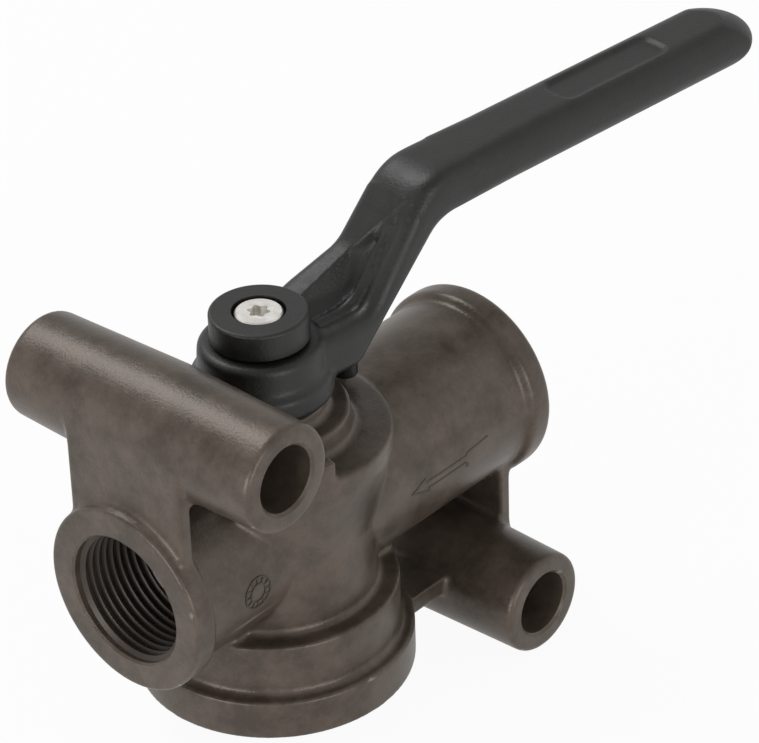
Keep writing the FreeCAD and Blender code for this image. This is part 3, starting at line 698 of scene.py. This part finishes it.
studio = {  # lengths in metres
    "worldLight": 0.36,
    "ceiling": 0.57,  # how bright the room shows above; it is plain white at the horizon
    "ceilingFrom": 0.4,  # sine of the height where the white has faded out
    "floorSize": 6.0,
    "floorDrop": 0.00005,  # keeps the floor just clear of the rim that stands on it
    "floorGlow": 0.94,  # how much of the floor is plain white to the camera; the rest keeps the shadow
    "floorMirror": 0.7,  # the same for reflections
    "softboxes": [  # name, place, size and power in watts; each faces the object
        ("backTopSoftbox", (0.0, 0.57, 0.85), 0.5, 4.1),
        ("rightSoftbox", (0.62, -0.55, 0.5), 0.7, 0.6),
        ("leftSoftbox", (-0.97, -0.05, 0.12), 0.5, 4.3),
        ("frontSoftbox", (-0.25, -0.97, 0.13), 0.5, 3.2),
    ],
    "aim": (0.01, 0, 0.04),
}


def mathNode(owner, operation, first, second):
    return addNode(owner, "ShaderNodeMath", {0: first, 1: second}, operation=operation).outputs[0]


def whiteRays(owner, share, mirrorShare):  # the rays of camera, reflection or refraction that see plain white
    path = addNode(owner, "ShaderNodeLightPath").outputs
    mirror = mathNode(owner, "MAXIMUM", path["Is Glossy Ray"], path["Is Transmission Ray"])
    mirrorPart = mathNode(owner, "MULTIPLY", mirror, mirrorShare)
    cameraPart = mathNode(owner, "MULTIPLY", path["Is Camera Ray"], share)
    return mathNode(owner, "MAXIMUM", cameraPart, mirrorPart)


world = bpy.data.worlds.new("studioWorld")
bpy.context.scene.world = world
world.use_nodes = True
world.node_tree.nodes.clear()
dim = addNode(world, "ShaderNodeBackground", {"Color": fromHex("#FFFFFF"), "Strength": studio["worldLight"]})
towards = addNode(world, "ShaderNodeSeparateXYZ", {
    0: addNode(world, "ShaderNodeTexCoord").outputs["Generated"],
})
fade = addNode(world, "ShaderNodeMapRange", {
    "Value": towards.outputs["Z"],
    "From Max": studio["ceilingFrom"],
    "To Min": 1.0,
    "To Max": studio["ceiling"],
})
plain = addNode(world, "ShaderNodeBackground", {"Color": fromHex("#FFFFFF"), "Strength": fade.outputs[0]})
choice = addNode(world, "ShaderNodeMixShader", {
    0: whiteRays(world, 1, 1),
    1: dim.outputs[0],
    2: plain.outputs[0],
})
addNode(world, "ShaderNodeOutputWorld", {"Surface": choice.outputs[0]})

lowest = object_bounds()[0].z
bpy.ops.mesh.primitive_plane_add(size=studio["floorSize"], location=(0, 0, lowest - studio["floorDrop"]))
floor = takePiece("studioFloor")
bakePlace(floor)
paper = bpy.data.materials.new("whitePaperSweep")  # matt white card
paper.use_nodes = True
paper.node_tree.nodes.clear()
card = addNode(paper, "ShaderNodeBsdfDiffuse", {"Color": fromHex("#F4F4F4")})
glow = addNode(paper, "ShaderNodeEmission", {"Color": fromHex("#FFFFFF"), "Strength": 1.0})
surface = addNode(paper, "ShaderNodeMixShader", {
    0: whiteRays(paper, studio["floorGlow"], studio["floorMirror"]),
    1: card.outputs[0],
    2: glow.outputs[0],
})
addNode(paper, "ShaderNodeOutputMaterial", {"Surface": surface.outputs[0]})
floor.data.materials.append(paper)

for name, place, size, watts in studio["softboxes"]:
    aim = (Vector(studio["aim"]) - Vector(place)).to_track_quat("-Z", "Y")
    bpy.ops.object.light_add(type="AREA", location=place, rotation=aim.to_euler())
    lamp = bpy.context.object
    lamp.name = name
    lamp.data.shape = "SQUARE"
    lamp.data.size = size
    lamp.data.energy = watts
print("studio made")

photoView = {  # the photograph's view: angles in degrees, lengths in millimetres
    "azimuth": -47.439,
    "elevation": 32.624,
    "roll": -1.913,
    "middle": (0, 0, 50),
    "shiftRight": 18.418,
    "shiftUp": 3.651,
    "distance": 586.021,
    "focalPixels": 3725.208,
    "frameWidth": 759,
    "sensor": 36.0,
    "clipStart": 10,
}
azimuth, elevation, roll = [math.radians(photoView[key]) for key in ("azimuth", "elevation", "roll")]
level = math.cos(elevation)
back = Vector((math.sin(azimuth) * level, -math.cos(azimuth) * level, math.sin(elevation)))
right = Vector((math.cos(azimuth), math.sin(azimuth), 0))
up = back.cross(right)
eye = (mmPoint(*photoView["middle"]) + right * mm(photoView["shiftRight"]) + up * mm(photoView["shiftUp"])
       + back * mm(photoView["distance"]))
rolledRight = math.cos(roll) * right + math.sin(roll) * up
rolledUp = -math.sin(roll) * right + math.cos(roll) * up
bpy.ops.object.camera_add()
camera = bpy.context.object
camera.name = "photoCamera"
camera.matrix_world = Matrix.Translation(eye) @ Matrix((rolledRight, rolledUp, back)).transposed().to_4x4()
camera.data.sensor_width = photoView["sensor"]
camera.data.sensor_fit = "HORIZONTAL"
camera.data.lens = photoView["focalPixels"] / photoView["frameWidth"] * photoView["sensor"]
camera.data.clip_start = mm(photoView["clipStart"])
bpy.context.scene.camera = camera
bpy.context.scene.view_settings.view_transform = "Standard"

print("scene ready")
